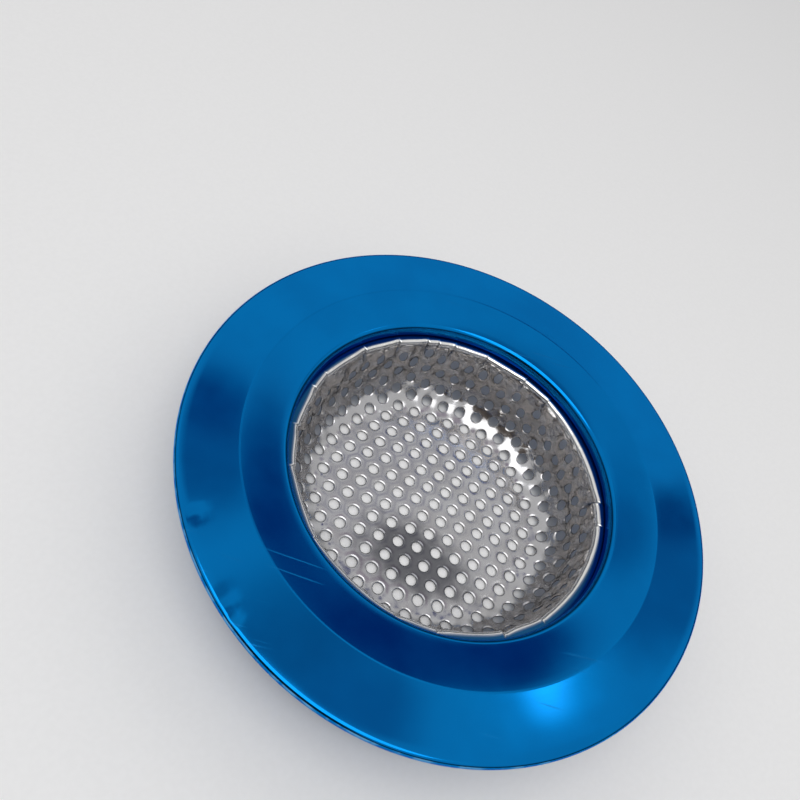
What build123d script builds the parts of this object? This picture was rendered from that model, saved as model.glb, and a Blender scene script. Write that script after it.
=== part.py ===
from build123d import *
import os
from math import cos, hypot, pi, radians, sin, sqrt, tan

# Sink strainer: a wide pressed rim ring with a punched and drawn basket locked into its neck.
# Z runs up the axis, and the origin is the middle of the basket's flat underside.

# Whole strainer
rim_diameter = 115.0
overall_height = 23.0

# Rim ring
rim_sheet = 0.5
lip_depth = 1.2
lip_bend = 0.65
dish_radius = 45.8
dish_drop = 1.9
shoulder_bend = 1.4
neck_bore_radius = 36.4
neck_depth = 4.6

# Lock seam, where the ring's edge is folded flat round the basket's flange
seam_radius = 38.7
seam_grip = 1.9
seam_clearance = 0.03

# Basket, whose drawn wall settles into flats between its pleats
basket_sheet = 0.4
mouth_radius = 34.3
mouth_bend = 0.8
wall_lean = radians(8.3)
corner_radius = 8.5
flats = 15

# Holes, measured in the flat sheet before it is drawn
hole_diameter = 2.8
hole_pitch = 4.56
first_hole_along = -0.4
first_hole_across = -3.18
hole_sides = 6
hole_margin = 1.3
punch_overrun = 0.5

# Facets that stand for each bend
lip_steps = 1
shoulder_steps = 1
corner_steps = 2
mouth_steps = 1

# Rounds of the sum that finds a place on the drawn corner
solve_rounds = 6

# Heights of the middle of each sheet
flange_mid = overall_height - rim_sheet / 2
seam_top_mid = overall_height - neck_depth - rim_sheet / 2
basket_flange_mid = seam_top_mid - rim_sheet / 2 - seam_clearance - basket_sheet / 2
seam_low_mid = basket_flange_mid - basket_sheet / 2 - seam_clearance - rim_sheet / 2
floor_mid = basket_sheet / 2


def bent_line(corners, bends):
    """Points of a bent middle line, where each inner corner has a bend radius and a number of steps."""
    points = [Vector(*corner) for corner in corners]
    line = [points[0]]
    for before, place, after, (bend, steps) in zip(points, points[1:], points[2:], bends):
        if bend == 0:
            line.append(place)
            continue
        arrive = (place - before).normalized()
        leave = (after - place).normalized()
        turn = radians(arrive.get_angle(leave))
        side = 1 if arrive.cross(leave).Z > 0 else -1
        start = place - arrive * (bend * tan(turn / 2))
        centre = start + Vector(-arrive.Y, arrive.X) * (bend * side)
        spoke = start - centre
        for step in range(steps + 1):
            angle = side * turn * step / steps
            swung_x = spoke.X * cos(angle) - spoke.Y * sin(angle)
            swung_y = spoke.X * sin(angle) + spoke.Y * cos(angle)
            line.append(centre + Vector(swung_x, swung_y))
    return line + [points[-1]]


def sheet_section(line, sheet):
    """Closed outline of a sheet of even thickness about its middle line, with mitred corners."""
    runs = [(after - before).normalized() for before, after in zip(line, line[1:])]
    normals = [Vector(-run.Y, run.X) for run in runs]
    mitres = [normals[0]]
    for before, after in zip(normals, normals[1:]):
        mitres.append((before + after) * (1 / (1 + before.dot(after))))
    mitres.append(normals[-1])
    near = [point + mitre * (sheet / 2) for point, mitre in zip(line, mitres)]
    far = [point - mitre * (sheet / 2) for point, mitre in zip(line, mitres)]
    return near + far[::-1]


def turned(section):
    """Round solid about Z from an outline in radius and height."""
    outline = make_face(Polyline(*section, close=True))
    return revolve(Plane.XZ * outline, axis=Axis.Z)


def turned_in_flats(section):
    """Solid about Z whose walls are flats between pleats, from an outline that starts and ends on the axis."""
    turns = [2 * pi * (pleat + 1 / 2) / flats for pleat in range(flats)]

    def around(point):
        return [Vector(point.X * cos(turn), point.X * sin(turn), point.Y) for turn in turns]

    rings = [around(point) for point in section[1:-1]]
    faces = [Face(Polyline(*rings[0], close=True).wire()), Face(Polyline(*rings[-1], close=True).wire())]
    for lower, upper in zip(rings, rings[1:]):
        for pleat in range(flats):
            corners = (lower[pleat - 1], lower[pleat], upper[pleat], upper[pleat - 1])
            faces.append(Face(Polyline(*corners, close=True).wire()))
    return Solid(Shell(faces))


# Rim ring: down-turned lip, flat flange, dished band, rounded shoulder, neck, and the fold of the seam
def make_rim_ring():
    lip_mid = rim_diameter / 2 - rim_sheet / 2
    neck_mid = neck_bore_radius + rim_sheet / 2
    fold_mid = seam_radius - rim_sheet / 2
    corners = [
        (lip_mid, overall_height - lip_depth),
        (lip_mid, flange_mid),
        (dish_radius, flange_mid),
        (neck_mid, flange_mid - dish_drop),
        (neck_mid, seam_top_mid),
        (fold_mid, seam_top_mid),
        (fold_mid, seam_low_mid),
        (fold_mid - seam_grip, seam_low_mid),
    ]
    sharp = (0, 0)
    bends = [(lip_bend, lip_steps), sharp, (shoulder_bend, shoulder_steps), sharp, sharp, sharp]
    return turned(sheet_section(bent_line(corners, bends), rim_sheet))


# Middle line of the basket, from which the hole places are worked out as well
wall_top_radius = mouth_radius + basket_sheet / 2
wall_foot_radius = wall_top_radius - (basket_flange_mid - floor_mid) * tan(wall_lean)
corner_mid = corner_radius + basket_sheet / 2
corner_turn = pi / 2 - wall_lean
floor_radius = wall_foot_radius - corner_mid * tan(corner_turn / 2)
wall_start_radius = floor_radius + corner_mid * sin(corner_turn)
wall_start_height = floor_mid + corner_mid * (1 - cos(corner_turn))
wall_run = (basket_flange_mid - wall_start_height) / cos(wall_lean)
wall_length = wall_run - mouth_bend * tan(corner_turn / 2)
flange_end = seam_radius - rim_sheet - seam_clearance


def drawn_place(blank_radius):
    """Radius, height, slope and climb up the wall that a ring of the flat blank takes, its area kept."""
    if blank_radius <= floor_radius:
        return blank_radius, floor_mid, 0, 0
    area = (blank_radius**2 - floor_radius**2) / 2
    corner_area = floor_radius * corner_mid * corner_turn + corner_mid**2 * (1 - cos(corner_turn))
    if area <= corner_area:
        slope = area / corner_area * corner_turn
        for _ in range(solve_rounds):
            swept = floor_radius * corner_mid * slope + corner_mid**2 * (1 - cos(slope))
            slope -= (swept - area) / (corner_mid * (floor_radius + corner_mid * sin(slope)))
        return floor_radius + corner_mid * sin(slope), floor_mid + corner_mid * (1 - cos(slope)), slope, 0
    rest = area - corner_area
    climb = 2 * rest / (wall_start_radius + sqrt(wall_start_radius**2 + 2 * rest * sin(wall_lean)))
    radius = wall_start_radius + climb * sin(wall_lean)
    return radius, wall_start_height + climb * cos(wall_lean), corner_turn, climb


def hole_places():
    """Blank positions of the punched holes: staggered rows along X, laid out from the first hole."""
    row_step = hole_pitch * sqrt(3) / 2
    rows = int(rim_diameter / 2 / row_step)
    columns = int(rim_diameter / 2 / hole_pitch)
    for row in range(-rows, rows + 1):
        for column in range(-columns - 1, columns + 1):
            along = (column + (row % 2) / 2) * hole_pitch + first_hole_along
            across = row * row_step + first_hole_across
            yield along, across


def punch(along, across):
    """Cutter for one hole, square to the drawn sheet, or None where the wall is already too high."""
    blank_radius = hypot(along, across)
    radius, height, slope, climb = drawn_place(blank_radius)
    squeeze = radius / blank_radius
    stretch = blank_radius / radius
    if climb + hole_diameter / 2 * stretch + hole_margin > wall_length:
        return None
    outward = Vector(along, across).normalized()
    tangent = Vector(-outward.Y, outward.X)
    normal = Vector(0, 0, 1) * cos(slope) - outward * sin(slope)
    depth = basket_sheet / 2 + punch_overrun
    place = outward * radius + Vector(0, 0, height) - normal * depth
    reach = hole_diameter / 2 * sqrt(2 * pi / (hole_sides * sin(2 * pi / hole_sides)))
    turns = [(corner + 1 / 2) * 2 * pi / hole_sides for corner in range(hole_sides)]
    corners = [(reach * squeeze * cos(turn), reach * stretch * sin(turn)) for turn in turns]
    outline = Plane(place, x_dir=tangent, z_dir=normal) * make_face(Polyline(*corners, close=True))
    return extrude(outline, amount=2 * depth, dir=normal)


# Basket: flat floor, rounded corner, leaning wall, and the flange that the seam holds
def make_perforated_basket():
    corners = [
        (0, floor_mid),
        (wall_foot_radius, floor_mid),
        (wall_top_radius, basket_flange_mid),
        (flange_end, basket_flange_mid),
    ]
    bends = [(corner_mid, corner_steps), (mouth_bend - basket_sheet / 2, mouth_steps)]
    cup = turned_in_flats(sheet_section(bent_line(corners, bends), basket_sheet))
    punches = [punch(along, across) for along, across in hole_places()]
    punches = [one for one in punches if one is not None]
    print("holes", len(punches))
    return cup - punches


os.makedirs("parts", exist_ok=True)
for name, solid in (("rim_ring", make_rim_ring()), ("perforated_basket", make_perforated_basket())):
    solid.label = name
    export_step(solid, f"parts/{name}.step")
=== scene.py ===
"""Sink strainer: a blue lacquered rim ring locked round a punched and drawn steel basket.

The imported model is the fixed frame. The ring and the basket of this file stand for its two nodes.
Sizes in the classes are in millimetres and degrees unless a name says otherwise, and meshes are in metres.
"""

import logging
from dataclasses import dataclass, field
from enum import Enum
from functools import partial, reduce
from math import cos, pi, radians, sin, sqrt, tan

import bpy
import numpy as np
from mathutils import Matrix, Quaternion, Vector


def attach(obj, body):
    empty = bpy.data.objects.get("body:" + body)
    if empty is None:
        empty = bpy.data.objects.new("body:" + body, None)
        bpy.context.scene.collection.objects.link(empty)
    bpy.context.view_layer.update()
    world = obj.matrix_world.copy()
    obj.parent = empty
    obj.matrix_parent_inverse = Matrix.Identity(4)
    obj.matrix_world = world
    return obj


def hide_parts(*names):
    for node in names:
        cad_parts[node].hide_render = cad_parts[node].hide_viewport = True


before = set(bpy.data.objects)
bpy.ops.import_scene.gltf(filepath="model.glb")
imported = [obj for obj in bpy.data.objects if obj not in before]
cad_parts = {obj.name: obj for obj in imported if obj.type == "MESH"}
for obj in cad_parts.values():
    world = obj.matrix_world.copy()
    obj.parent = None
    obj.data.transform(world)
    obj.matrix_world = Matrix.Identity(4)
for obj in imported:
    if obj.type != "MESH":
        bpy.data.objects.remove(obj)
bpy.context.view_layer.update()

log = logging.getLogger("strainer")

MM = 0.001
ROOT = "root"
WHITE = (1.0, 1.0, 1.0, 1.0)


class Slot(Enum):
    """The record's material slots."""

    BLUE_RIM = "blue_rim"
    BRIGHT_STEEL = "bright_steel"


class Node(Enum):
    """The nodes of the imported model."""

    RIM_RING = "rim_ring"
    BASKET = "perforated_basket"


Socket = bpy.types.NodeSocket
Feed = Socket | float | int | str | tuple
Colour = tuple[float, float, float]
Faces = list[tuple[int, ...]]


class Bench:
    """Puts nodes into one node tree and joins their sockets."""

    def __init__(self, tree: bpy.types.NodeTree) -> None:
        """Takes the tree to work on."""
        self.tree = tree

    def put(self, kind: str, **settings: object) -> bpy.types.Node:
        """Adds a node.

        Args:
            kind: The node's type name.
            **settings: Values for the node's own properties.

        Returns:
            The new node.
        """
        node = self.tree.nodes.new(kind)
        for name, value in settings.items():
            setattr(node, name, value)
        return node

    def feed(self, value: Feed, socket: Socket) -> None:
        """Links a socket to another, or gives it a constant.

        Args:
            value: The socket to link from, or the constant.
            socket: The input socket.
        """
        if isinstance(value, Socket):
            self.tree.links.new(value, socket)
        else:
            socket.default_value = value

    def use(self, kind: str, inputs: dict[str | int, Feed], output: str | int = 0, **settings: object) -> Socket:
        """Adds a node, feeds it and reads it.

        Args:
            kind: The node's type name.
            inputs: What its inputs get, by name or number.
            output: The output to read.
            **settings: Values for the node's own properties.

        Returns:
            The output.
        """
        node = self.put(kind, **settings)
        for name, value in inputs.items():
            self.feed(value, node.inputs[name])
        return node.outputs[output]

    def math(self, operation: str, *values: Feed) -> Socket:
        """Adds one sum with its terms in order."""
        return self.use("ShaderNodeMath", dict(enumerate(values)), operation=operation)

    def product(self, *values: Feed) -> Socket:
        """Multiplies numbers, from the left."""
        return reduce(partial(self.math, "MULTIPLY"), values)

    def total(self, *values: Feed) -> Socket:
        """Adds numbers up, from the left."""
        return reduce(partial(self.math, "ADD"), values)

    def length(self, *parts: Feed) -> Socket:
        """Gives the length of the vector with these parts."""
        return self.math("SQRT", self.total(*[self.product(part, part) for part in parts]))

    def test(self, operation: str, first: Feed, second: Feed) -> Socket:
        """Compares two numbers of a geometry."""
        return self.use("FunctionNodeCompare", {0: first, 1: second}, data_type="FLOAT", operation=operation)

    def combine(self, x: Feed, y: Feed, z: Feed) -> Socket:
        """Makes a vector of three numbers."""
        return self.use("ShaderNodeCombineXYZ", {0: x, 1: y, 2: z})

    def separate(self, vector: Socket) -> tuple[Socket, ...]:
        """Takes a vector apart into its three numbers.

        Args:
            vector: The vector.

        Returns:
            The numbers.
        """
        node = self.put("ShaderNodeSeparateXYZ")
        self.feed(vector, node.inputs[0])
        return tuple(node.outputs)

    def place(self, kind: str = "Object") -> Socket:
        """Reads one kind of texture coordinates."""
        return self.use("ShaderNodeTexCoord", {}, kind)

    def mapped(self, vector: Socket, kind: str = "POINT", **inputs: Feed) -> Socket:
        """Moves, turns and scales texture coordinates."""
        return self.use("ShaderNodeMapping", {"Vector": vector, **inputs}, vector_type=kind)

    def noise(self, vector: Socket, scale: float, detail: float = 2.0) -> Socket:
        """Adds a noise texture, which lies around one half."""
        return self.use("ShaderNodeTexNoise", {"Vector": vector, "Scale": scale, "Detail": detail})

    def ramp(self, value: Feed, low: float, high: float, start: float = 0.0, end: float = 1.0) -> Socket:
        """Carries the range from low to high smoothly to start and end, held at both ends."""
        inputs = dict(enumerate((value, low, high, start, end)))
        return self.use("ShaderNodeMapRange", inputs, interpolation_type="SMOOTHSTEP")

    def blend(self, share: Feed, first: Feed, second: Feed) -> Socket:
        """Mixes two colours, by the share of the second."""
        return self.use("ShaderNodeMix", {0: share, 6: first, 7: second}, 2, data_type="RGBA")

    def bump(self, height: Socket, strength: float, depth: float) -> Socket:
        """Turns a height into a normal, where 1 stands for the depth in metres."""
        return self.use("ShaderNodeBump", {"Strength": strength, "Distance": depth, "Height": height})

    def surface(self, **values: Feed) -> None:
        """Adds the surface shader, with underscores for the spaces in its inputs' names.

        Args:
            **values: What its inputs get.
        """
        inputs = {name.replace("_", " "): value for name, value in values.items()}
        shader = self.use("ShaderNodeBsdfPrincipled", inputs)
        self.feed(shader, self.put("ShaderNodeOutputMaterial").inputs["Surface"])


def colour(red: float, green: float, blue: float) -> tuple[float, float, float, float]:
    """Gives a colour with full cover."""
    return (red, green, blue, 1.0)


def new_material(name: str) -> tuple[bpy.types.Material, Bench]:
    """Makes an empty material.

    Args:
        name: The material's name.

    Returns:
        The material and the bench of its tree.
    """
    material = bpy.data.materials.new(name)
    material.use_nodes = True
    material.node_tree.nodes.clear()
    return material, Bench(material.node_tree)


@dataclass(frozen=True)
class BlueLacquer:
    """Clear blue lacquer over spun steel: faint spun rings, clouds, fine scratches and a worn edge."""

    deep: Colour = (0.0, 0.176, 0.515)
    light: Colour = (0.0, 0.198, 0.565)
    worn: Colour = (0.22, 0.5, 0.75)
    scratched: Colour = (0.03, 0.27, 0.62)
    edge_tint: Colour = (0.0, 0.4, 0.9)
    roughness: float = 0.1
    cloudiness: float = 0.04
    edge_radius: float = 57.15
    edge_width: float = 0.3
    rings_in_a_metre: float = 5200.0
    spun_depth: float = 0.000004
    scratch_turns: tuple[float, ...] = (24.0, -63.0)

    def make(self) -> bpy.types.Material:
        """Builds the material.

        Returns:
            The lacquer.
        """
        material, bench = new_material("blue_lacquer")
        place = bench.place()
        x, y, z = bench.separate(place)
        radius = bench.length(x, y)
        around = bench.combine(bench.math("DIVIDE", x, radius), bench.math("DIVIDE", y, radius), z)
        rings = bench.combine(bench.product(radius, self.rings_in_a_metre), 0.0, 0.0)
        spun = bench.noise(bench.use("ShaderNodeVectorMath", {0: rings, 1: around}, operation="ADD"), 1.0, 3.0)
        clouds = bench.noise(place, 55.0, 3.0)
        scratches = bench.math("MAXIMUM", *[self._scratches(bench, place, turn) for turn in self.scratch_turns])
        edge = bench.ramp(radius, self.edge_radius * MM, (self.edge_radius + self.edge_width) * MM)
        wear = bench.product(edge, bench.ramp(bench.noise(place, 420.0, 4.0), 0.44, 0.6))
        base = bench.blend(bench.ramp(clouds, 0.35, 0.65), colour(*self.deep), colour(*self.light))
        base = bench.blend(bench.product(scratches, 0.22), base, colour(*self.scratched))
        base = bench.blend(bench.product(wear, 0.7), base, colour(*self.worn))
        rough = bench.ramp(clouds, 0.3, 0.7, self.roughness, self.roughness + self.cloudiness)
        height = bench.math("SUBTRACT", bench.product(spun, 0.5), bench.product(scratches, 0.6))
        bench.surface(
            Base_Color=base,
            Roughness=bench.total(rough, bench.product(scratches, 0.12)),
            Normal=bench.bump(height, 0.35, self.spun_depth),
            Metallic=1.0,
            Specular_Tint=colour(*self.edge_tint),
            Coat_Weight=0.05,
            Coat_Roughness=0.06,
        )
        return material

    def _scratches(self, bench: Bench, place: Socket, turn: float) -> Socket:
        """Adds one set of thin, broken scratches.

        Args:
            bench: The material's bench.
            place: Object coordinates.
            turn: The direction of the scratches.

        Returns:
            Where they are, from 0 to 1.
        """
        turned = bench.mapped(place, Rotation=(0.0, 0.0, radians(turn)), Scale=(60.0, 1900.0, 60.0))
        lines = bench.ramp(bench.noise(turned, 1.0, 0.0), 0.77, 0.83)
        patches = bench.ramp(bench.noise(place, 38.0 + turn * 0.1, 1.0), 0.56, 0.66)
        return bench.product(lines, patches)


@dataclass(frozen=True)
class RolledSteel:
    """Bright rolled stainless steel, drawn and burnished: rolling lines, clouds, a warm film up the wall, a painted
    dark reflection on the floor, and painted shade in the gap under the ring and in the pleats' slits.
    """

    bright: Colour = (0.54, 0.54, 0.555)
    dull: Colour = (0.5, 0.495, 0.5)
    warm: Colour = (0.52, 0.485, 0.46)
    painted_gap_shade: Colour = (0.012, 0.09, 0.22)
    painted_dark_reflection: Colour = (0.17, 0.172, 0.185)
    polished: Colour = (0.9, 0.895, 0.88)
    sheared: Colour = (0.1, 0.1, 0.105)
    roughness: float = 0.11
    cloudiness: float = 0.07
    line_depth: float = 0.003
    crumple_depth: float = 0.75
    # Where the painted dark reflection lies on the basket's floor, its reach and its turn.
    dark_reflection_middle: tuple[float, float, float] = (-0.0002, -0.0142, 0.0)
    dark_reflection_reach: tuple[float, float, float] = (0.0178, 0.0104, 0.02)
    dark_reflection_turn: float = -12.3

    def make(self) -> bpy.types.Material:
        """Builds the material.

        Returns:
            The steel.
        """
        material, bench = new_material("rolled_steel")
        place = bench.place()
        sheet = bench.use("ShaderNodeUVMap", {}, uv_map="sheet")
        lines = bench.noise(bench.mapped(sheet, Scale=(6.0, 420.0, 1.0)), 1.0, 3.0)
        clouds = bench.noise(place, 130.0, 4.0)
        climb, rim, gap, cut = [self._weight(bench, name) for name in ("climb", "rim", "gap", "cut")]
        film = bench.product(climb, bench.ramp(bench.noise(place, 420.0, 4.0), 0.36, 0.6, 0.15, 1.0))
        base: Feed = colour(*self.bright)
        for share, other in (
            (bench.ramp(clouds, 0.38, 0.66), self.dull),
            (film, self.warm),
            # Painted reflection: a dark patch in the floor's colour stands in for something dark mirrored in the
            # steel.
            (self._painted_dark_reflection(bench, place), self.painted_dark_reflection),
            (rim, self.polished),
            # Painted shade and painted blue reflection of the ring's neck: the flange under the ring's fold and the
            # pleats' slits are coloured dark blue.
            (gap, self.painted_gap_shade),
            (cut, self.sheared),
        ):
            base = bench.blend(share, base, colour(*other))
        rough = bench.ramp(clouds, 0.3, 0.7, self.roughness, self.roughness + self.cloudiness)
        crumples = bench.product(bench.noise(place, 700.0, 3.0), bench.product(climb, self.crumple_depth))
        bench.surface(
            Base_Color=base,
            Roughness=bench.total(rough, bench.product(lines, 0.06), bench.product(cut, 0.3)),
            Normal=bench.bump(bench.total(bench.product(lines, self.line_depth), crumples), 1.0, MM),
            Metallic=1.0,
        )
        return material

    def _painted_dark_reflection(self, bench: Bench, place: Socket) -> Socket:
        """Paints a dark reflection into the colour of a soft patch of the basket's floor, where the photograph shows
        the steel dark.

        Args:
            bench: The material's bench.
            place: The Object coordinates.

        Returns:
            The stain's strength.
        """
        turn = (0.0, 0.0, radians(self.dark_reflection_turn))
        reflection_spot = bench.mapped(place, "TEXTURE", Location=self.dark_reflection_middle, Rotation=turn, Scale=self.dark_reflection_reach)
        ragged = bench.ramp(bench.noise(place, 240.0, 3.0), 0.3, 0.7, -0.12, 0.12)
        # The painted reflection's strength.
        return bench.ramp(bench.total(bench.length(*bench.separate(reflection_spot)), ragged), 0.4, 1.05, 1.0, 0.0)

    def _weight(self, bench: Bench, name: str) -> Socket:
        """Reads a number that the basket's mesh carries."""
        return bench.use("ShaderNodeAttribute", {}, "Fac", attribute_name=name)


@dataclass(frozen=True)
class PaleGround:
    """The plain pale floor that the strainer stands on, with a painted shadow: a darker ring of colour where the rim
    ring overhangs it.
    """

    shade: float = 0.93
    grain: float = 0.985
    painted_shadow_grey: float = 0.5

    def make(self) -> bpy.types.Material:
        """Builds the material.

        Returns:
            The floor's finish.
        """
        material, bench = new_material("pale_ground")
        place = bench.place()
        low, high, dark = [colour(grey, grey, grey) for grey in (self.shade * self.grain, self.shade, self.painted_shadow_grey)]
        base = bench.blend(bench.ramp(bench.noise(place, 900.0, 2.0), 0.3, 0.7), low, high)
        radius = bench.length(*bench.separate(place)[:2])
        # Painted shadow: the floor's colour turns darker grey in a ring under the rim ring's overhang, outside the
        # basket.
        under = bench.product(bench.ramp(radius, 0.0262, 0.033), bench.ramp(radius, 0.046, 0.055, 1.0, 0.0))
        bench.surface(Base_Color=bench.blend(under, base, dark), Roughness=0.9)
        return material


def add_object(name: str, data: bpy.types.ID) -> bpy.types.Object:
    """Makes an object and links it into the scene.

    Args:
        name: The object's name.
        data: Its mesh, light or camera.

    Returns:
        The object.
    """
    added = bpy.data.objects.new(name, data)
    bpy.context.scene.collection.objects.link(added)
    return added


def strip(low: int, high: int, count: int) -> Faces:
    """Gives the faces between two closed rows of points, by the number of each row's first point."""
    return [(low + step, high + step, high + (step + 1) % count, low + (step + 1) % count) for step in range(count)]


def read_rows(items: bpy.types.bpy_prop_collection, name: str, width: int, kind: type = np.float32) -> np.ndarray:
    """Reads one property of every item of a mesh.

    Args:
        items: The vertices, triangles or corners.
        name: The property's name.
        width: How many numbers each item has.
        kind: What kind of number.

    Returns:
        One row an item.
    """
    rows = np.zeros(len(items) * width, kind)
    items.foreach_get(name, rows)
    return rows.reshape(-1, width)


def new_piece(name: str, points: np.ndarray, faces: Faces) -> bpy.types.Object:
    """Makes a smooth-shaded mesh object from points in millimetres.

    Args:
        name: The object's name.
        points: One row a point.
        faces: The points of each face, counter-clockwise from outside.

    Returns:
        The object, linked into the scene.
    """
    mesh = bpy.data.meshes.new(name)
    mesh.from_pydata((points * MM).tolist(), [], faces)
    mesh.validate()
    mesh.polygons.foreach_set("use_smooth", np.ones(len(mesh.polygons), bool))
    mesh.update()
    return add_object(name, mesh)


def smooth(value: np.ndarray, low: float, high: float) -> np.ndarray:
    """Gives a smooth step from 0 at low to 1 at high."""
    share = np.clip((value - low) / (high - low), 0.0, 1.0)
    return share * share * (3.0 - 2.0 * share)


def bent_line(corners: list[tuple[float, float]], bends: list[tuple[float, int]], stride: float) -> np.ndarray:
    """Gives the points of a bent middle line in radius and height.

    Args:
        corners: Its sharp corners, with both ends.
        bends: For each inner corner, the bend's radius and its number of steps.
        stride: The longest step on a straight run.

    Returns:
        One row a point.
    """
    line = [np.array(corners[0])]

    def run_to(point: np.ndarray) -> None:
        """Walks a straight run to a point.

        Args:
            point: Where the run ends.
        """
        start = line[-1]
        steps = max(1, int(np.linalg.norm(point - start) / stride))
        for step in range(1, steps + 1):
            line.append(start + (point - start) * step / steps)

    for before, corner, after, (bend, steps) in zip(corners, corners[1:], corners[2:], bends):
        place = np.array(corner)
        arrive = (place - before) / np.linalg.norm(place - before)
        leave = (after - place) / np.linalg.norm(after - place)
        cross = arrive[0] * leave[1] - arrive[1] * leave[0]
        turn = np.arctan2(abs(cross), arrive @ leave)
        side = 1.0 if cross > 0 else -1.0
        start = place - arrive * bend * tan(turn / 2)
        run_to(start)
        centre = start + np.array([-arrive[1], arrive[0]]) * bend * side
        spoke = start - centre
        for step in range(1, steps + 1):
            angle = side * turn * step / steps
            spin = np.array([[cos(angle), -sin(angle)], [sin(angle), cos(angle)]])
            line.append(centre + spin @ spoke)
    run_to(np.array(corners[-1]))
    return np.array(line)


@dataclass(frozen=True)
class Knock:
    """A small dent in the rim ring."""

    azimuth: float
    radius: float
    depth: float
    width: float


@dataclass(frozen=True)
class Wave:
    """A shallow wave round the rim ring, which may twist with the radius."""

    height: float
    lobes: int
    phase: float
    twist: float = 0.0


@dataclass
class RimRing:
    """The blue ring: down-turned lip, flat flange, dished band, rounded shoulder, neck, and the seam's fold."""

    rim_radius: float = 57.5
    height: float = 23.0
    sheet: float = 0.5
    lip_depth: float = 1.2
    lip_bend: float = 0.65
    dish_radius: float = 45.8
    dish_drop: float = 1.9
    dish_bend: float = 2.0
    shoulder_bend: float = 1.2
    neck_bore: float = 36.0
    neck_depth: float = 4.6
    seam_radius: float = 38.7
    seam_grip: float = 1.9
    fold_gap: float = 0.46
    fold_bend: float = 0.3
    lip_steps: int = 7
    dish_steps: int = 8
    shoulder_steps: int = 14
    fold_steps: int = 6
    stride: float = 1.2
    segments: int = 320
    wave: float = 0.1
    wavy_from: tuple[float, float] = (40.0, 50.0)
    stiff_from: tuple[float, float] = (56.4, 57.4)
    waves: tuple[Wave, ...] = (
        Wave(0.45, 2, 0.7),
        Wave(0.3, 3, -1.1, 0.11),
        Wave(0.16, 5, 2.0, -0.17),
        Wave(0.09, 9, 0.0, 0.3),
    )
    sharp: float = 50.0
    knocks: tuple[Knock, ...] = (
        Knock(212.0, 54.9, 0.22, 1.0),
        Knock(231.5, 56.3, 0.3, 0.8),
        Knock(228.0, 55.6, 0.14, 1.3),
        Knock(163.0, 52.0, 0.05, 2.5),
        Knock(20.0, 50.0, 0.05, 3.0),
    )
    finish: BlueLacquer = field(default_factory=BlueLacquer)

    def middle_line(self) -> np.ndarray:
        """Gives the middle of the sheet from the lip's foot to the end of the fold.

        Returns:
            Radius and height, one row a point.
        """
        half = self.sheet / 2
        lip = self.rim_radius - half
        flange = self.height - half
        neck = self.neck_bore + half
        seam_top = self.height - self.neck_depth - half
        seam_low = seam_top - self.fold_gap - self.sheet
        fold = self.seam_radius - half
        corners = [
            (lip, self.height - self.lip_depth),
            (lip, flange),
            (self.dish_radius, flange),
            (neck, flange - self.dish_drop),
            (neck, seam_top),
            (fold, seam_top),
            (fold, seam_low),
            (fold - self.seam_grip, seam_low),
        ]
        bends = [
            (self.lip_bend, self.lip_steps),
            (self.dish_bend, self.dish_steps),
            (self.shoulder_bend, self.shoulder_steps),
        ]
        return bent_line(corners, bends + [(self.fold_bend, self.fold_steps)] * 3, self.stride)

    def outline(self) -> np.ndarray:
        """Gives the closed outline of the sheet about its middle line.

        Returns:
            Radius and height, one row a point.
        """
        line = self.middle_line()
        runs = np.diff(line, axis=0)
        runs /= np.linalg.norm(runs, axis=1)[:, None]
        normals = np.stack([-runs[:, 1], runs[:, 0]], axis=1)
        inner = normals[:-1] + normals[1:]
        inner /= (1.0 + np.sum(normals[:-1] * normals[1:], axis=1))[:, None]
        mitres = np.concatenate([normals[:1], inner, normals[-1:]])
        return np.concatenate([line + mitres * self.sheet / 2, (line - mitres * self.sheet / 2)[::-1]])

    def waviness(self, azimuth: np.ndarray, radius: np.ndarray) -> np.ndarray:
        """Gives how far the pressed sheet lies below its true height.

        Args:
            azimuth: Angles about Z.
            radius: Distances from Z.

        Returns:
            The drop at each place, never above the true height.
        """
        waves = sum(one.height * np.sin(one.lobes * azimuth + one.phase + one.twist * radius) for one in self.waves)
        hold = 1.0 - smooth(radius, *self.stiff_from) * 0.5
        drop = self.wave * (1.0 + waves) / 2 * smooth(radius, *self.wavy_from) * hold
        for knock in self.knocks:
            angle = radians(knock.azimuth)
            gap = np.hypot(
                radius * np.cos(azimuth) - knock.radius * cos(angle),
                radius * np.sin(azimuth) - knock.radius * sin(angle),
            )
            drop += knock.depth * np.exp(-((gap / knock.width) ** 2))
        return drop

    def build(self) -> bpy.types.Object:
        """Builds the ring's mesh and dresses it.

        Returns:
            The ring.
        """
        outline = self.outline()
        count = len(outline)
        azimuths = np.arange(self.segments) * 2 * pi / self.segments
        azimuth = np.repeat(azimuths, count)
        radius = np.tile(outline[:, 0], self.segments)
        height = np.tile(outline[:, 1], self.segments) - self.waviness(azimuth, radius)
        points = np.stack([radius * np.cos(azimuth), radius * np.sin(azimuth), height], axis=1)
        faces: Faces = []
        for segment in range(self.segments):
            faces += strip(segment * count, (segment + 1) % self.segments * count, count)
        ring = new_piece("blue_rim_ring", points, faces)
        finish_mesh(ring.data, self.sharp)
        ring.data.materials.append(self.finish.make())
        return ring


def finish_mesh(mesh: bpy.types.Mesh, sharp: float) -> None:
    """Turns a closed mesh's faces outwards and keeps its sheared edges crisp.

    Args:
        mesh: The mesh.
        sharp: The angle in degrees from which an edge stays sharp.
    """
    mesh.calc_loop_triangles()
    corners = read_rows(mesh.vertices, "co", 3).astype(float)
    triangles = read_rows(mesh.loop_triangles, "vertices", 3, np.int32)
    first, second, third = corners[triangles].transpose(1, 0, 2)
    if np.sum(first * np.cross(second, third)) < 0:
        mesh.flip_normals()
    mesh.set_sharp_from_angle(angle=radians(sharp))


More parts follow.
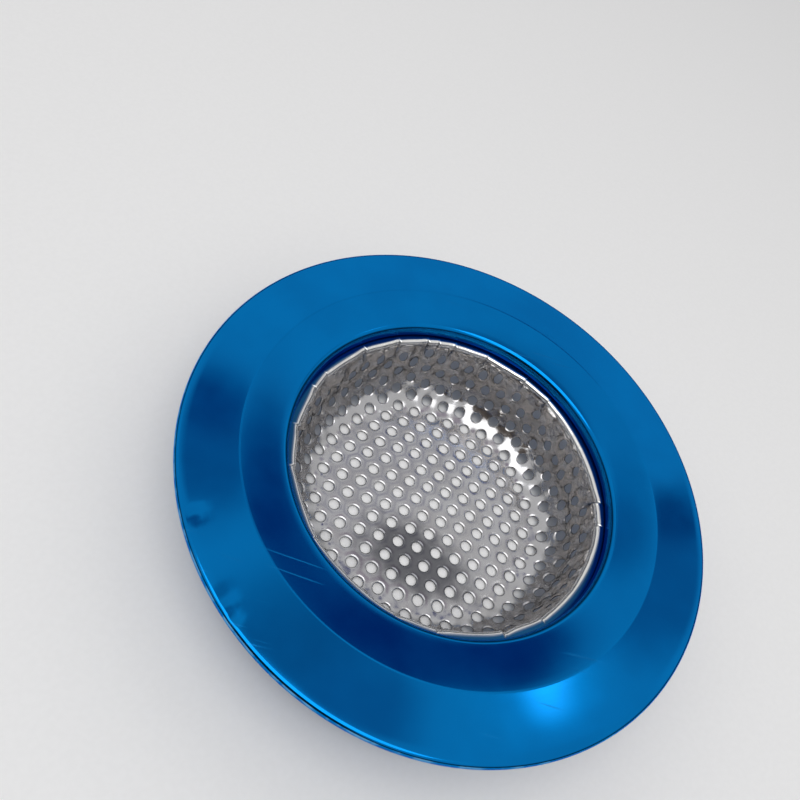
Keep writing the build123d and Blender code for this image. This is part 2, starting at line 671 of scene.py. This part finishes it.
@dataclass(frozen=True)
class Pleat:
    """A fold in the basket's wall, where the drawn sheet had more edge than room."""

    azimuth: float
    depth: float = 0.42
    length: float = 4.0
    slant: float = 0.0


@dataclass
class Sheet:
    """The flat sheet as one face's places with their drop, the middle of each place's cell, and the mesh faces."""

    places: np.ndarray
    centres: np.ndarray
    faces: Faces


@dataclass
class PunchedBlank:
    """The flat perforated sheet, made by geometry nodes from one punched cell and one plain cell."""

    pitch: float = 4.56
    first_along: float = -0.4
    first_across: float = -3.18
    hole_radius: float = 1.24
    roll_radius: float = 1.68
    roll_depth: float = 0.2
    roll_middle: float = 0.4
    roll_middle_drop: float = 0.25
    stiff_radius: float = 1.35
    corner_reach: float = 0.58
    plain_rings: tuple[float, float] = (0.66, 0.33)
    merge_gap: float = 0.004
    rim_width: float = 0.006
    sides: int = 18
    rows: int = 27
    columns: int = 25

    def tree(self, values: dict[str, object]) -> bpy.types.NodeTree:
        """Builds the node tree that lays the cells out, trims them to a disc and joins them.

        Args:
            values: The inputs by name, with lengths in metres.

        Returns:
            The tree.
        """
        tree = bpy.data.node_groups.new("punched_blank", "GeometryNodeTree")
        tree.interface.new_socket("Geometry", in_out="OUTPUT", socket_type="NodeSocketGeometry")
        kinds = {float: "NodeSocketFloat", int: "NodeSocketInt", bpy.types.Material: "NodeSocketMaterial"}
        for name, value in values.items():
            tree.interface.new_socket(name, in_out="INPUT", socket_type=kinds[type(value)])
        bench = Bench(tree)
        sizes = bench.put("NodeGroupInput").outputs
        lattice = self._lattice(bench, sizes)
        reach = bench.length(*bench.separate(bench.use("GeometryNodeInputPosition", {}))[:2])
        cell_reach = bench.total(sizes["Trim Radius"], bench.product(sizes["Pitch"], self.corner_reach))
        near = bench.test("LESS_THAN", reach, cell_reach)
        holed = bench.test("LESS_THAN", reach, sizes["Last Hole Radius"])
        bare = bench.use("FunctionNodeBooleanMath", {0: near, 1: holed}, operation="NIMPLY")
        joined = bench.put("GeometryNodeJoinGeometry")
        for chosen, punched in ((holed, True), (bare, False)):
            inputs = {"Points": lattice, "Selection": chosen, "Instance": self._cell(bench, sizes, punched)}
            bench.feed(bench.use("GeometryNodeInstanceOnPoints", inputs), joined.inputs[0])
        whole = bench.use("GeometryNodeRealizeInstances", {0: joined.outputs[0]})
        trimmed = self._merge(bench, self._trim(bench, sizes, self._merge(bench, whole)))
        dressed = bench.use("GeometryNodeSetMaterial", {"Geometry": trimmed, "Material": sizes["Finish"]})
        bench.feed(dressed, bench.put("NodeGroupOutput").inputs[0])
        return tree

    def _lattice(self, bench: Bench, sizes: bpy.types.NodeOutputs) -> Socket:
        """Lays out the middles of the cells in staggered rows, from the first hole.

        Args:
            bench: The tree's bench.
            sizes: The tree's inputs.

        Returns:
            The points, each with its place kept as its centre.
        """
        index = bench.use("GeometryNodeInputIndex", {})
        columns, rows = sizes["Columns"], sizes["Rows"]
        row = bench.math("FLOOR", bench.math("DIVIDE", index, columns))
        column = bench.math("SUBTRACT", index, bench.product(row, columns))
        row = bench.math("SUBTRACT", row, bench.product(bench.math("SUBTRACT", rows, 1.0), 0.5))
        column = bench.math("SUBTRACT", column, bench.product(bench.math("SUBTRACT", columns, 1.0), 0.5))
        stagger = bench.product(bench.math("FLOORED_MODULO", row, 2.0), 0.5)
        along = bench.total(bench.product(bench.total(column, stagger), sizes["Pitch"]), sizes["Along"])
        across = bench.total(bench.product(row, sqrt(3.0) / 2.0, sizes["Pitch"]), sizes["Across"])
        inputs = {"Count": bench.product(rows, columns), "Position": bench.combine(along, across, 0.0)}
        points = bench.use("GeometryNodePoints", inputs)
        kept = {"Name": "centre", "Geometry": points, "Value": bench.use("GeometryNodeInputPosition", {})}
        return bench.use("GeometryNodeStoreNamedAttribute", kept, data_type="FLOAT_VECTOR", domain="POINT")

    def _cell(self, bench: Bench, sizes: bpy.types.NodeOutputs, holed: bool) -> Socket:
        """Makes one six-sided cell of the sheet as rings between its border and its middle.

        Args:
            bench: The tree's bench.
            sizes: The tree's inputs.
            holed: Whether it has a hole with a rolled edge.

        Returns:
            The cell, whose border fits its neighbours' borders.
        """
        rings = 4
        corners = bench.total(sizes["Sides"], 1.0)
        grid = bench.use("GeometryNodeMeshGrid", {"Vertices X": corners, "Vertices Y": rings})
        index = bench.use("GeometryNodeInputIndex", {})
        step = bench.math("FLOOR", bench.math("DIVIDE", index, float(rings)))
        ring = bench.math("SUBTRACT", index, bench.product(step, float(rings)))
        angle = bench.product(bench.total(step, 0.5), bench.math("DIVIDE", 2.0 * pi, sizes["Sides"]))
        swing = bench.math("SUBTRACT", bench.math("MODULO", bench.total(angle, pi / 6), pi / 3), pi / 6)
        border = bench.math("DIVIDE", bench.product(sizes["Pitch"], 0.5), bench.math("COSINE", swing))
        if holed:
            hole, roll, middle = sizes["Hole Radius"], sizes["Roll Radius"], self.roll_middle
            radii = [border, roll, bench.total(hole, bench.product(bench.math("SUBTRACT", roll, hole), middle)), hole]
        else:
            radii = [border, *[bench.product(border, part) for part in self.plain_rings], 0.0]
        here = [bench.math("COMPARE", ring, float(number), 0.1) for number in range(rings)]
        radius = bench.total(*[bench.product(chosen, size) for chosen, size in zip(here, radii)])
        share = bench.total(here[-1], bench.product(here[-2], self.roll_middle_drop))
        drop = bench.product(share, sizes["Roll Depth"], -1.0 if holed else 0.0)
        along, across = [bench.product(radius, bench.math(side, angle)) for side in ("COSINE", "SINE")]
        inputs = {"Geometry": grid, "Position": bench.combine(along, across, drop)}
        return self._merge(bench, bench.use("GeometryNodeSetPosition", inputs))

    def _merge(self, bench: Bench, shape: Socket) -> Socket:
        """Joins points that lie on each other."""
        return bench.use("GeometryNodeMergeByDistance", {"Geometry": shape, "Distance": self.merge_gap * MM})

    def _trim(self, bench: Bench, sizes: bpy.types.NodeOutputs, shape: Socket) -> Socket:
        """Draws what is outside the trim circle in onto it, and deletes the faces left with no width.

        Args:
            bench: The tree's bench.
            sizes: The tree's inputs.
            shape: The joined cells.

        Returns:
            The round blank.
        """
        x, y, z = bench.separate(bench.use("GeometryNodeInputPosition", {}))
        reach = bench.length(x, y)
        shrink = bench.math("MINIMUM", 1.0, bench.math("DIVIDE", sizes["Trim Radius"], reach))
        inside = bench.combine(bench.product(x, shrink), bench.product(y, shrink), z)
        moved = bench.use("GeometryNodeSetPosition", {"Geometry": shape, "Position": inside})
        flat = bench.test("GREATER_THAN", reach, bench.math("SUBTRACT", sizes["Trim Radius"], self.rim_width * MM))
        cut = {"Geometry": moved, "Selection": flat}
        return bench.use("GeometryNodeDeleteGeometry", cut, domain="FACE", mode="ALL")

    def make(self, trim_radius: float, last_hole_radius: float, finish: bpy.types.Material) -> bpy.types.Mesh:
        """Runs the tree.

        Args:
            trim_radius: The radius of the round blank.
            last_hole_radius: How far out the middle of a hole may be.
            finish: The sheet's material.

        Returns:
            The flat blank's upper face as a plain mesh, in metres.
        """
        values = {
            "Pitch": self.pitch * MM,
            "Along": self.first_along * MM,
            "Across": self.first_across * MM,
            "Hole Radius": self.hole_radius * MM,
            "Roll Radius": self.roll_radius * MM,
            "Roll Depth": self.roll_depth * MM,
            "Trim Radius": trim_radius * MM,
            "Last Hole Radius": last_hole_radius * MM,
            "Rows": self.rows,
            "Columns": self.columns,
            "Sides": self.sides,
            "Finish": finish,
        }
        tree = self.tree(values)
        carrier = add_object("blank_carrier", bpy.data.meshes.new("blank_carrier"))
        punching = carrier.modifiers.new("punching", "NODES")
        punching.node_group = tree
        for item in tree.interface.items_tree:
            if item.in_out == "INPUT":
                punching[item.identifier] = values[item.name]
        carrier.update_tag()
        evaluated = carrier.evaluated_get(bpy.context.evaluated_depsgraph_get())
        mesh = bpy.data.meshes.new_from_object(evaluated)
        carrier.modifiers.remove(punching)
        bpy.data.objects.remove(carrier)
        bpy.data.node_groups.remove(tree)
        return mesh


@dataclass
class PerforatedBasket:
    """The steel basket: a punched blank drawn over a form, with flats, pleats and buckles up its wall."""

    sheet: float = 0.4
    floor_radius: float = 24.43
    corner: float = 8.7
    lean: float = 8.3
    flange_height: float = 17.67
    mouth_bend: float = 0.7
    flange_radius: float = 38.17
    hole_margin: float = 0.2
    plain_band: float = 1.2
    band_segments: int = 480
    line_points: int = 6000
    flat_points: int = 1441
    seed: int = 7
    waves: int = 26
    buckle: float = 0.17
    buckle_lengths: tuple[float, float] = (4.2, 9.5)
    crumple: float = 0.075
    crumple_lengths: tuple[float, float] = (1.9, 3.6)
    pop: float = 0.15
    tilt: float = 0.08
    swell: float = 0.12
    flat_gap: float = 18.0
    flat_radius: float = 35.0
    mouth_inset: float = -0.05
    sharp: float = 34.0
    pleats: tuple[Pleat, ...] = (
        Pleat(7.3, 0.85, 6.0, 3.4),
        Pleat(53.3),
        Pleat(65.3, 0.5, 4.5, -0.8),
        Pleat(83.3, 0.25, 3.0),
        Pleat(97.3, 0.5, 4.5, 0.7),
        Pleat(104.3, 0.4, 3.5),
        Pleat(108.8, 0.5, 5.0, -0.9),
        Pleat(121.3, 0.55, 4.0, 0.6),
        Pleat(136.8, 0.5, 4.0),
        Pleat(157.3, 0.2, 2.5),
        Pleat(165.3, 0.45, 4.0, 1.1),
        Pleat(182.3, 0.5, 4.5, -0.7),
        Pleat(198.3, 0.5, 4.0),
        Pleat(224.3, 0.4, 3.5, 0.8),
        Pleat(258.3, 0.45, 4.0),
        Pleat(272.3, 0.45, 3.5, -0.8),
        Pleat(295.3, 0.75, 5.0, 1.6),
        Pleat(310.3, 0.45, 4.0),
        Pleat(357.3, 0.55, 4.5, -1.0),
    )
    blank: PunchedBlank = field(default_factory=PunchedBlank)
    finish: RolledSteel = field(default_factory=RolledSteel)

    def __post_init__(self) -> None:
        """Works out the middle line, its blank radii, and the random numbers of the buckles."""
        lean = radians(self.lean)
        turn = pi / 2 - lean
        floor = self.sheet / 2
        start_radius = self.floor_radius + self.corner * sin(turn)
        start_height = floor + self.corner * (1 - cos(turn))
        bend_set = self.mouth_bend * tan(turn / 2)
        wall_run = (self.flange_height - start_height) / cos(lean) - bend_set
        mouth_radius = start_radius + wall_run * sin(lean)
        flange_start = mouth_radius + bend_set * (sin(lean) + 1)
        flange = self.flange_radius - flange_start
        lengths = [self.floor_radius, self.corner * turn, wall_run, self.mouth_bend * turn, flange]
        ends = np.concatenate([[0.0], np.cumsum(lengths)])
        run = np.unique(np.concatenate([np.linspace(0.0, ends[-1], self.line_points), ends]))
        swept = np.clip((run - ends[1]) / self.corner, 0.0, turn)
        eased = np.clip((run - ends[3]) / self.mouth_bend, 0.0, turn)
        slope = swept - eased
        step = np.diff(run)
        middle = (slope[1:] + slope[:-1]) / 2
        self.run = run
        self.slope = slope
        self.radius = np.concatenate([[0.0], np.cumsum(step * np.cos(middle))])
        self.height = floor + np.concatenate([[0.0], np.cumsum(step * np.sin(middle))])
        area = np.concatenate([[0.0], np.cumsum(step * (self.radius[1:] + self.radius[:-1]) / 2)])
        self.flat = np.sqrt(2 * area)
        self.corner_run, self.wall_run, self.mouth_run, self.flange_run, self.end_run = ends[1:]
        dice = np.random.default_rng(self.seed)
        self.wave_turns = dice.uniform(0, 2 * pi, 2 * self.waves)
        spans = (self.buckle_lengths, self.crumple_lengths)
        self.wave_sizes = 2 * pi / np.concatenate([dice.uniform(*span, self.waves) for span in spans])
        self.wave_heights = np.repeat([self.buckle, self.crumple], self.waves) / sqrt(self.waves / 2)
        self.wave_phases = dice.uniform(0, 2 * pi, 2 * self.waves)
        self.cell_dice = dice.normal(0.0, 1.0, (self.blank.rows * self.blank.columns, 3))
        self._lay_flats()

    def _lay_flats(self) -> None:
        """Tables how far the mouth's flats cut in between the pleats."""
        azimuths = np.sort([pleat.azimuth for pleat in self.pleats])
        self.flat_azimuths = np.linspace(0.0, 360.0, self.flat_points)
        cut = np.zeros(self.flat_points)
        for first, second in zip(azimuths, np.append(azimuths[1:], azimuths[0] + 360.0)):
            gap = second - first
            for offset in (0.0, 360.0):
                inside = (self.flat_azimuths >= first - offset) & (self.flat_azimuths <= second - offset)
                away = np.radians(self.flat_azimuths[inside] + offset - (first + second) / 2)
                chord = 1.0 - cos(radians(gap / 2)) / np.cos(away)
                cut[inside] = chord * self.flat_radius * min(1.0, (self.flat_gap / gap) ** 2)
        self.flat_cut = cut + self.mouth_inset

    def blank_radius(self, run: float) -> float:
        """Gives the radius in the flat sheet of a place along the middle line."""
        return float(np.interp(run, self.run, self.flat))

    def formed(self, places: np.ndarray, centres: np.ndarray) -> np.ndarray:
        """Draws places of the flat sheet over the form.

        Args:
            places: Places in the flat sheet, one row each.
            centres: The middle of the cell that each is in.

        Returns:
            The places on the middle of the drawn sheet.
        """
        reach = np.hypot(places[:, 0], places[:, 1])
        azimuth = np.arctan2(places[:, 1], places[:, 0])
        run = np.interp(reach, self.flat, self.run)
        radius = np.interp(run, self.run, self.radius)
        height = np.interp(run, self.run, self.height)
        slope = np.interp(run, self.run, self.slope)
        out = self._buckles(places, centres, run)
        radius = radius - np.sin(slope) * out + self._gather(azimuth, run, radius)
        height = height + np.cos(slope) * out + self._floor_swell(places, reach)
        return np.stack([radius * np.cos(azimuth), radius * np.sin(azimuth), height], axis=1)

    def _floor_swell(self, places: np.ndarray, reach: np.ndarray) -> np.ndarray:
        """Gives the slight lift of the floor, which is never quite flat.

        Args:
            places: Places in the flat sheet.
            reach: Their distances from the middle.

        Returns:
            The lift.
        """
        x, y = places[:, 0], places[:, 1]
        lift = 0.5 + 0.3 * np.sin(x * 0.19 + 0.4) * np.cos(y * 0.17 - 0.9) + 0.2 * np.sin(y * 0.31 + x * 0.12 + 2.0)
        return self.swell * lift * (1.0 - smooth(reach, 20.0, 26.0))

    def _buckles(self, places: np.ndarray, centres: np.ndarray, run: np.ndarray) -> np.ndarray:
        """Gives how far the sheet is pushed in by its buckles and by each hole's own tilt.

        Args:
            places: Places in the flat sheet.
            centres: The middle of the cell that each is in.
            run: Lengths along the middle line.

        Returns:
            The push along the inner face's normal.
        """
        height = smooth(run, self.corner_run + 3.0, self.wall_run + 2.0)
        rest = 1.0 - 0.85 * smooth(run, self.mouth_run - 1.2, self.mouth_run)
        hold = 1.0 - smooth(run, self.mouth_run, self.flange_run + 0.3)
        waves = np.zeros(len(places))
        for turn, size, tall, phase in zip(self.wave_turns, self.wave_sizes, self.wave_heights, self.wave_phases):
            waves += tall * np.cos(size * (places[:, 0] * cos(turn) + places[:, 1] * sin(turn)) + phase)
        row = np.rint((centres[:, 1] - self.blank.first_across) / self.blank.pitch * 2 / sqrt(3)).astype(int)
        column = np.rint((centres[:, 0] - self.blank.first_along) / self.blank.pitch - (row % 2) / 2).astype(int)
        number = (row + self.blank.rows // 2) * self.blank.columns + column + self.blank.columns // 2
        dice = self.cell_dice[number % len(self.cell_dice)]
        away = places - centres
        share = 1.0 - smooth(np.hypot(away[:, 0], away[:, 1]), self.blank.stiff_radius, self.blank.pitch / 2)
        pops = share * (self.pop * dice[:, 0] + self.tilt * np.sum(away * dice[:, 1:], axis=1))
        return (waves + pops) * height * rest * hold

    def _gather(self, azimuth: np.ndarray, run: np.ndarray, radius: np.ndarray) -> np.ndarray:
        """Gives the outward move that makes the mouth's flats and pleats.

        Args:
            azimuth: Angles about Z.
            run: Lengths along the middle line.
            radius: Distances from Z.

        Returns:
            The outward move.
        """
        degrees = np.degrees(azimuth) % 360.0
        hold = 1.0 - smooth(run, self.flange_run, self.flange_run + 1.0)
        rise = smooth(run, self.corner_run + 6.0, self.mouth_run)
        move = -np.interp(degrees, self.flat_azimuths, self.flat_cut) * rise * hold
        for pleat in self.pleats:
            arc, width, fade = self._crease(pleat, degrees, run, radius)
            groove = np.exp(-((arc / width) ** 2))
            lips = 0.16 * np.exp(-(((np.abs(arc) - 2.6 * width) / (1.4 * width)) ** 2))
            step = 0.3 * np.tanh(arc / width) * np.exp(-((arc / 1.8) ** 2))
            move += pleat.depth * fade * hold * (groove - lips + step)
        return move

    def _crease(
        self, pleat: Pleat, degrees: np.ndarray, run: np.ndarray, radius: np.ndarray
    ) -> tuple[np.ndarray, np.ndarray, np.ndarray]:
        """Measures places against one pleat.

        Args:
            pleat: The pleat.
            degrees: Angles about Z, in degrees.
            run: Lengths along the middle line.
            radius: Distances from Z.

        Returns:
            The distance round from the pleat, its half width there, and how strong it still is.
        """
        down = self.mouth_run - run
        lean = pleat.slant * np.clip(down / pleat.length, -0.3, 1.0)
        away = (degrees - pleat.azimuth - lean + 180.0) % 360.0 - 180.0
        width = 0.15 + 0.35 * np.clip((down - 0.6) / 2.0, 0.0, 1.0)
        return np.radians(away) * radius, width, 1.0 - smooth(down, pleat.length * 0.25, pleat.length)

    def build(self) -> bpy.types.Object:
        """Punches the blank, draws it, gives it its thickness and dresses it.

        Returns:
            The basket.
        """
        trim = self.blank_radius(self.mouth_run - self.plain_band)
        last_hole = trim - self.blank.hole_radius - self.hole_margin
        finish = self.finish.make()
        flat = self.blank.make(trim, last_hole, finish)
        sheet = self._add_band(self._read(flat), trim)
        bpy.data.meshes.remove(flat)
        log.info("basket: %d holes punched", self._count_holes(sheet))
        basket = self._thicken(sheet)
        basket.data.materials.append(finish)
        return basket

    def _read(self, mesh: bpy.types.Mesh) -> Sheet:
        """Reads the flat blank's points and faces.

        Args:
            mesh: The flat blank.

        Returns:
            The blank, in millimetres.
        """
        places = read_rows(mesh.vertices, "co", 3) / MM
        centres = read_rows(mesh.attributes["centre"].data, "vector", 3)[:, :2] / MM
        return Sheet(places, centres, [tuple(face.vertices) for face in mesh.polygons])

    def _count_holes(self, sheet: Sheet) -> int:
        """Counts the holes by the points on their edges, which share their cell's centre with no neighbour.

        Args:
            sheet: The flat sheet.

        Returns:
            The number of holes.
        """
        away = np.hypot(*(sheet.places[:, :2] - sheet.centres).T)
        edge = np.abs(away - self.blank.hole_radius) < self.blank.merge_gap
        return len(np.unique(np.round(sheet.centres[edge], 2), axis=0))

    def _add_band(self, blank: Sheet, trim: float) -> Sheet:
        """Joins the plain band of the mouth and the flange to the trimmed blank.

        Args:
            blank: The blank.
            trim: The radius at which it is trimmed.

        Returns:
            The blank with the band.
        """
        runs = np.concatenate(
            [
                np.linspace(self.mouth_run - self.plain_band + 0.15, self.mouth_run, 5),
                np.linspace(self.mouth_run, self.flange_run, 8)[1:],
                np.linspace(self.flange_run, self.flange_run + 1.0, 5)[1:],
                np.linspace(self.flange_run + 1.0, self.end_run, 3)[1:],
            ]
        )
        azimuths = self._band_azimuths()
        total = len(azimuths)
        count = len(blank.places)
        rings = []
        for run in runs:
            reach = self.blank_radius(run)
            rings.append(np.stack([reach * np.cos(azimuths), reach * np.sin(azimuths), 0 * azimuths], axis=1))
        band = np.concatenate(rings)
        faces = blank.faces + self._zip(blank.places, trim, azimuths)
        for ring in range(len(runs) - 1):
            faces += strip(count + ring * total, count + (ring + 1) * total, total)
        return Sheet(np.concatenate([blank.places, band]), np.concatenate([blank.centres, band[:, :2]]), faces)

    def _band_azimuths(self) -> np.ndarray:
        """Gives the angles of the band's points, which stand closer together at each pleat.

        Returns:
            The angles, rising from 0.
        """
        even = np.arange(self.band_segments) * 2 * pi / self.band_segments
        near = np.linspace(-1.0, 1.0, 21) / self.flange_radius
        close = [radians(pleat.azimuth) + near for pleat in self.pleats]
        return np.unique(np.round(np.concatenate([even, *close]) % (2 * pi), 4))

    def _zip(self, places: np.ndarray, trim: float, angles: np.ndarray) -> Faces:
        """Closes the gap between the trimmed edge's points and the band's, which come after them.

        Args:
            places: The blank's places.
            trim: The radius of its edge.
            angles: The angles of the band's points.

        Returns:
            The triangles of the join.
        """
        reach = np.hypot(places[:, 0], places[:, 1])
        edge = np.nonzero(reach > trim - 0.004)[0]
        turns = np.arctan2(places[edge, 1], places[edge, 0]) % (2 * pi)
        order = np.argsort(turns)
        edge, turns = edge[order], turns[order]
        first, total = len(places), len(angles)
        faces: Faces = []
        inner = outer = 0
        while inner < len(edge) or outer < total:
            next_inner = turns[(inner + 1) % len(edge)] + (2 * pi if inner + 1 >= len(edge) else 0.0)
            next_outer = angles[(outer + 1) % total] + (2 * pi if outer + 1 >= total else 0.0)
            here, there = int(edge[inner % len(edge)]), first + outer % total
            if outer >= total or (inner < len(edge) and next_inner <= next_outer):
                faces.append((here, there, int(edge[(inner + 1) % len(edge)])))
                inner += 1
            else:
                faces.append((here, there, first + (outer + 1) % total))
                outer += 1
        return faces

    def _thicken(self, sheet: Sheet) -> bpy.types.Object:
        """Draws the sheet and gives it two faces, hole walls and an edge.

        Args:
            sheet: The flat sheet with its band.

        Returns:
            The basket's object.
        """
        places, centres, faces = sheet.places, sheet.centres, sheet.faces
        flat = places[:, :2]
        middle = self.formed(flat, centres)
        nudges = ((0.03, 0.0), (0.0, 0.03))
        normals = np.cross(*[self.formed(flat + way, centres) - self.formed(flat - way, centres) for way in nudges])
        normals /= np.linalg.norm(normals, axis=1)[:, None]
        inner = middle + normals * (self.sheet / 2 + places[:, 2:3])
        outer = middle - normals * self.sheet / 2
        count = len(places)
        used = dict.fromkeys(edge for face in faces for edge in zip(face, face[1:] + face[:1]))
        sides = [(start, start + count, end + count, end) for start, end in used if (end, start) not in used]
        back = [tuple(point + count for point in reversed(face)) for face in faces]
        basket = new_piece("steel_basket", np.concatenate([inner, outer]), faces + back + sides)
        finish_mesh(basket.data, self.sharp)
        self._write_maps(basket.data, flat, len(faces) * 2)
        return basket

    def _write_maps(self, mesh: bpy.types.Mesh, flat: np.ndarray, first_side: int) -> None:
        """Keeps the flat sheet's coordinates and the finish's weights on the mesh.

        Args:
            mesh: The basket's mesh.
            flat: Places in the flat sheet, for one side's points.
            first_side: The number of the first face that a punch or a shear has cut.
        """
        both = np.concatenate([flat, flat])
        corners = read_rows(mesh.loops, "vertex_index", 1, np.int32)[:, 0]
        layer = mesh.uv_layers.new(name="sheet")
        layer.data.foreach_set("uv", (both[corners] / 100.0 + 0.5).astype(np.float32).ravel())
        run = np.interp(np.hypot(both[:, 0], both[:, 1]), self.flat, self.run)
        climb = smooth(run, self.corner_run + 5.0, self.wall_run + 2.0)
        climb *= 1 - smooth(run, self.mouth_run - 0.9, self.mouth_run)
        # Painted shade: the flange under the ring's fold is marked for a dark blue colour that stands in for shade and
        # the neck's blue reflection.
        gap = smooth(run, self.flange_run - 0.22, self.flange_run + 0.08)
        rim = smooth(run, self.mouth_run - 0.3, self.mouth_run + 0.05)
        degrees = np.degrees(np.arctan2(both[:, 1], both[:, 0])) % 360.0
        at_mouth = np.full(len(run), self.flange_radius * 0.91)
        for pleat in self.pleats:
            arc, width, fade = self._crease(pleat, degrees, run, at_mouth)
            # Painted shadow: each pleat's slit is marked for the same dark colour, as the shade inside the fold.
            pleat_slit_shade = min(1.0, pleat.depth * 1.6) * fade * np.exp(-((arc / width) ** 4))
            gap = np.maximum(gap, pleat_slit_shade * (run > self.wall_run))
        for name, weights in (("climb", climb), ("gap", gap), ("rim", rim)):
            kept = mesh.attributes.new(name, "FLOAT", "POINT")
            kept.data.foreach_set("value", weights.astype(np.float32))
        cut = mesh.attributes.new("cut", "FLOAT", "FACE")
        cut.data.foreach_set("value", (np.arange(len(mesh.polygons)) >= first_side).astype(np.float32))


@dataclass(frozen=True)
class SkyDisc:
    """A soft round patch of the surroundings with a tint of its own, where the rest is white."""

    azimuth: float
    elevation: float
    radius: float
    soft: float
    tint: Colour

    def direction(self) -> tuple[float, float, float]:
        """Gives the unit vector towards the patch."""
        around, up = radians(self.azimuth), radians(self.elevation)
        return (cos(up) * cos(around), cos(up) * sin(around), sin(up))


@dataclass
class Studio:
    """A pale floor with a painted shadow under the ring, soft light from above, and the camera where the photograph
    was taken.
    """

    camera_place: tuple[float, float, float] = (-0.037957, -0.080747, 0.140331)
    camera_turn: tuple[float, float, float, float] = (0.935186, 0.303890, -0.122687, 0.134263)
    focal_length: float = 31.654
    floor_size: float = 6.0
    floor_height: float = -0.3
    surround: float = 0.72
    horizon: float = 0.1
    dusk: tuple[float, float] = (12.0, 37.0)
    backdrop: float = 0.85
    top_light: float = 3.1
    top_place: tuple[float, float, float] = (-0.1, -0.28, 0.89)
    top_width: float = 0.9
    discs: tuple[SkyDisc, ...] = (
        SkyDisc(-115.0, 26.0, 20.0, 9.0, (0.16, 0.13, 0.11)),
        SkyDisc(62.0, 74.0, 6.0, 4.0, (0.5, 0.44, 0.52)),
        SkyDisc(46.0, 72.0, 2.6, 3.0, (0.6, 0.52, 0.62)),
        SkyDisc(38.0, 51.5, 1.4, 2.6, (0.75, 0.7, 0.78)),
        SkyDisc(66.6, 46.5, 3.6, 1.8, (0.03, 0.045, 0.24)),
        SkyDisc(99.0, 60.5, 3.0, 3.4, (0.4, 0.4, 0.52)),
        SkyDisc(100.5, 56.8, 1.6, 1.4, (0.1, 0.1, 0.3)),
        SkyDisc(40.0, 48.0, 3.8, 3.8, (0.54, 0.5, 0.6)),
        SkyDisc(43.7, 43.2, 1.4, 1.2, (0.1, 0.15, 0.3)),
        SkyDisc(75.0, 58.0, 2.6, 2.4, (0.5, 0.5, 0.6)),
        SkyDisc(33.4, 58.5, 0.6, 1.8, (5.0, 5.0, 5.0)),
    )

    def build(self) -> None:
        """Builds the floor, the lights, the surroundings and the camera."""
        self._floor()
        self._world()
        self._softbox()
        self._camera()

    def _floor(self) -> None:
        """Lays the floor under the basket, as close as the unevenness of its floor lets it stand."""
        half = self.floor_size / MM / 2
        corners = np.array([(-half, -half), (half, -half), (half, half), (-half, half)])
        points = np.column_stack([corners, np.full(4, self.floor_height)])
        ground = new_piece("pale_floor", points, [(0, 1, 2, 3)])
        ground.data.materials.append(PaleGround().make())

    def _world(self) -> None:
        """Makes the soft surroundings, plain and pale to the camera itself."""
        world = bpy.data.worlds.new("soft_surroundings")
        world.use_nodes = True
        world.node_tree.nodes.clear()
        bpy.context.scene.world = world
        bench = Bench(world.node_tree)
        place = bench.place("Generated")
        up = bench.separate(place)[2]
        low, high = [sin(radians(elevation)) for elevation in self.dusk]
        level = bench.ramp(up, low, high, self.surround * self.horizon, self.surround)
        tint: Feed = WHITE
        for disc in self.discs:
            near = bench.use("ShaderNodeVectorMath", {0: place, 1: disc.direction()}, "Value", operation="DOT_PRODUCT")
            start, end = cos(radians(disc.radius + disc.soft)), cos(radians(disc.radius))
            tint = bench.blend(bench.ramp(near, start, end), tint, colour(*disc.tint))
        rays = bench.use("ShaderNodeLightPath", {}, "Is Camera Ray")
        seen = bench.product(level, bench.math("SUBTRACT", 1.0, rays))
        strength = bench.total(seen, bench.product(rays, self.backdrop))
        light = bench.use("ShaderNodeBackground", {"Color": tint, "Strength": strength})
        bench.feed(light, bench.put("ShaderNodeOutputWorld").inputs["Surface"])

    def _softbox(self) -> None:
        """Hangs a round soft light that looks at the strainer."""
        light = bpy.data.lights.new("top_softbox", "AREA")
        light.shape = "DISK"
        light.size = self.top_width
        light.energy = self.top_light
        lamp = add_object("top_softbox", light)
        lamp.location = self.top_place
        lamp.rotation_mode = "QUATERNION"
        lamp.rotation_quaternion = (Vector((0.0, 0.0, 0.01)) - Vector(self.top_place)).to_track_quat("-Z", "Y")

    def _camera(self) -> None:
        """Sets up the camera at the photograph's angle."""
        data = bpy.data.cameras.new("photo_camera")
        data.sensor_width = 36.0
        data.lens = self.focal_length
        data.clip_start = 0.005
        data.clip_end = 50.0
        camera = add_object("photo_camera", data)
        camera.rotation_mode = "QUATERNION"
        camera.rotation_quaternion = Quaternion(self.camera_turn)
        camera.location = self.camera_place
        bpy.context.scene.camera = camera


def place_piece(piece: bpy.types.Object, node: Node) -> None:
    """Puts a finished piece in a node's stead.

    Args:
        piece: The piece.
        node: The node that it stands for.
    """
    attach(piece, ROOT)
    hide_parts(node.value)
    log.info("%s: %d faces, for %s", piece.name, len(piece.data.polygons), node.value)


def main() -> None:
    """Builds the strainer and its studio, and reports each piece."""
    logging.basicConfig(level=logging.INFO, format="%(name)s: %(message)s")
    bpy.context.scene.view_settings.view_transform = "Standard"
    place_piece(RimRing().build(), Node.RIM_RING)
    place_piece(PerforatedBasket().build(), Node.BASKET)
    Studio().build()


if __name__ == "__main__":
    main()
